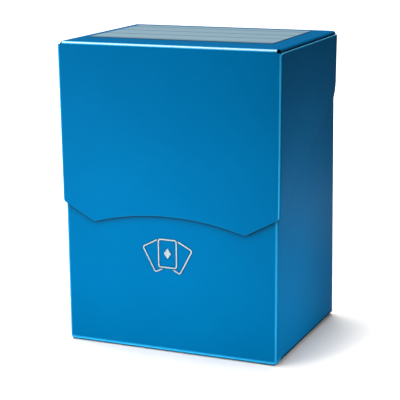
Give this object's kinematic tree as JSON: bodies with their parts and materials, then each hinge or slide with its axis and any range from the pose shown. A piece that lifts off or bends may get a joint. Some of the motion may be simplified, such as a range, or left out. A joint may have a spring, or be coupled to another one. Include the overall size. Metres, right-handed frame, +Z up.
{
  "type": "card deck box",
  "caption": "Upright folding deck box for trading cards in frosted blue polypropylene, with a hinged hood lid, arched front flap, write-on label and foil card-fan emblem.",
  "frame": {"origin": "middle of the closed box's footprint, on the surface that it stands on", "axes": "+Z up, -Y out of the front with the arched flap and the emblem, +X to the viewer's right; the lid's hinge is on the +Y side"},
  "size_m": [0.0744, 0.0566, 0.0982],
  "materials": {
    "blue_polypropylene": "frosted translucent sheet, finely grained",
    "label_paper": "matte silver-grey, with dark ruled lines",
    "silver_foil": "hot-stamped satin foil"
  },
  "bodies": {
    "box": {"front_panel": "blue_polypropylene", "back_panel": "blue_polypropylene", "left_side_panel": "blue_polypropylene", "right_side_panel": "blue_polypropylene", "base_panel": "blue_polypropylene", "base_left_tab": "blue_polypropylene", "base_right_tab": "blue_polypropylene", "base_rear_tab": "blue_polypropylene", "seam_tab": "blue_polypropylene", "lid_hinge": "blue_polypropylene", "emblem_card_left": "silver_foil", "emblem_card_centre": "silver_foil", "emblem_card_right": "silver_foil", "emblem_pip": "silver_foil"},
    "lid": {"lid_top_panel": "blue_polypropylene", "lid_front_flap": "blue_polypropylene", "lid_left_wing": "blue_polypropylene", "lid_right_wing": "blue_polypropylene", "lid_left_tab": "blue_polypropylene", "lid_right_tab": "blue_polypropylene", "write_on_label": "label_paper"}
  },
  "joints": [
    {"name": "lid_hinge_fold", "type": "hinge", "parent": "box", "child": "lid", "pos_m": [0, 0.02845, 0.09805], "axis": [-1, 0, 0], "range_deg": [0, 255]}
  ]
}
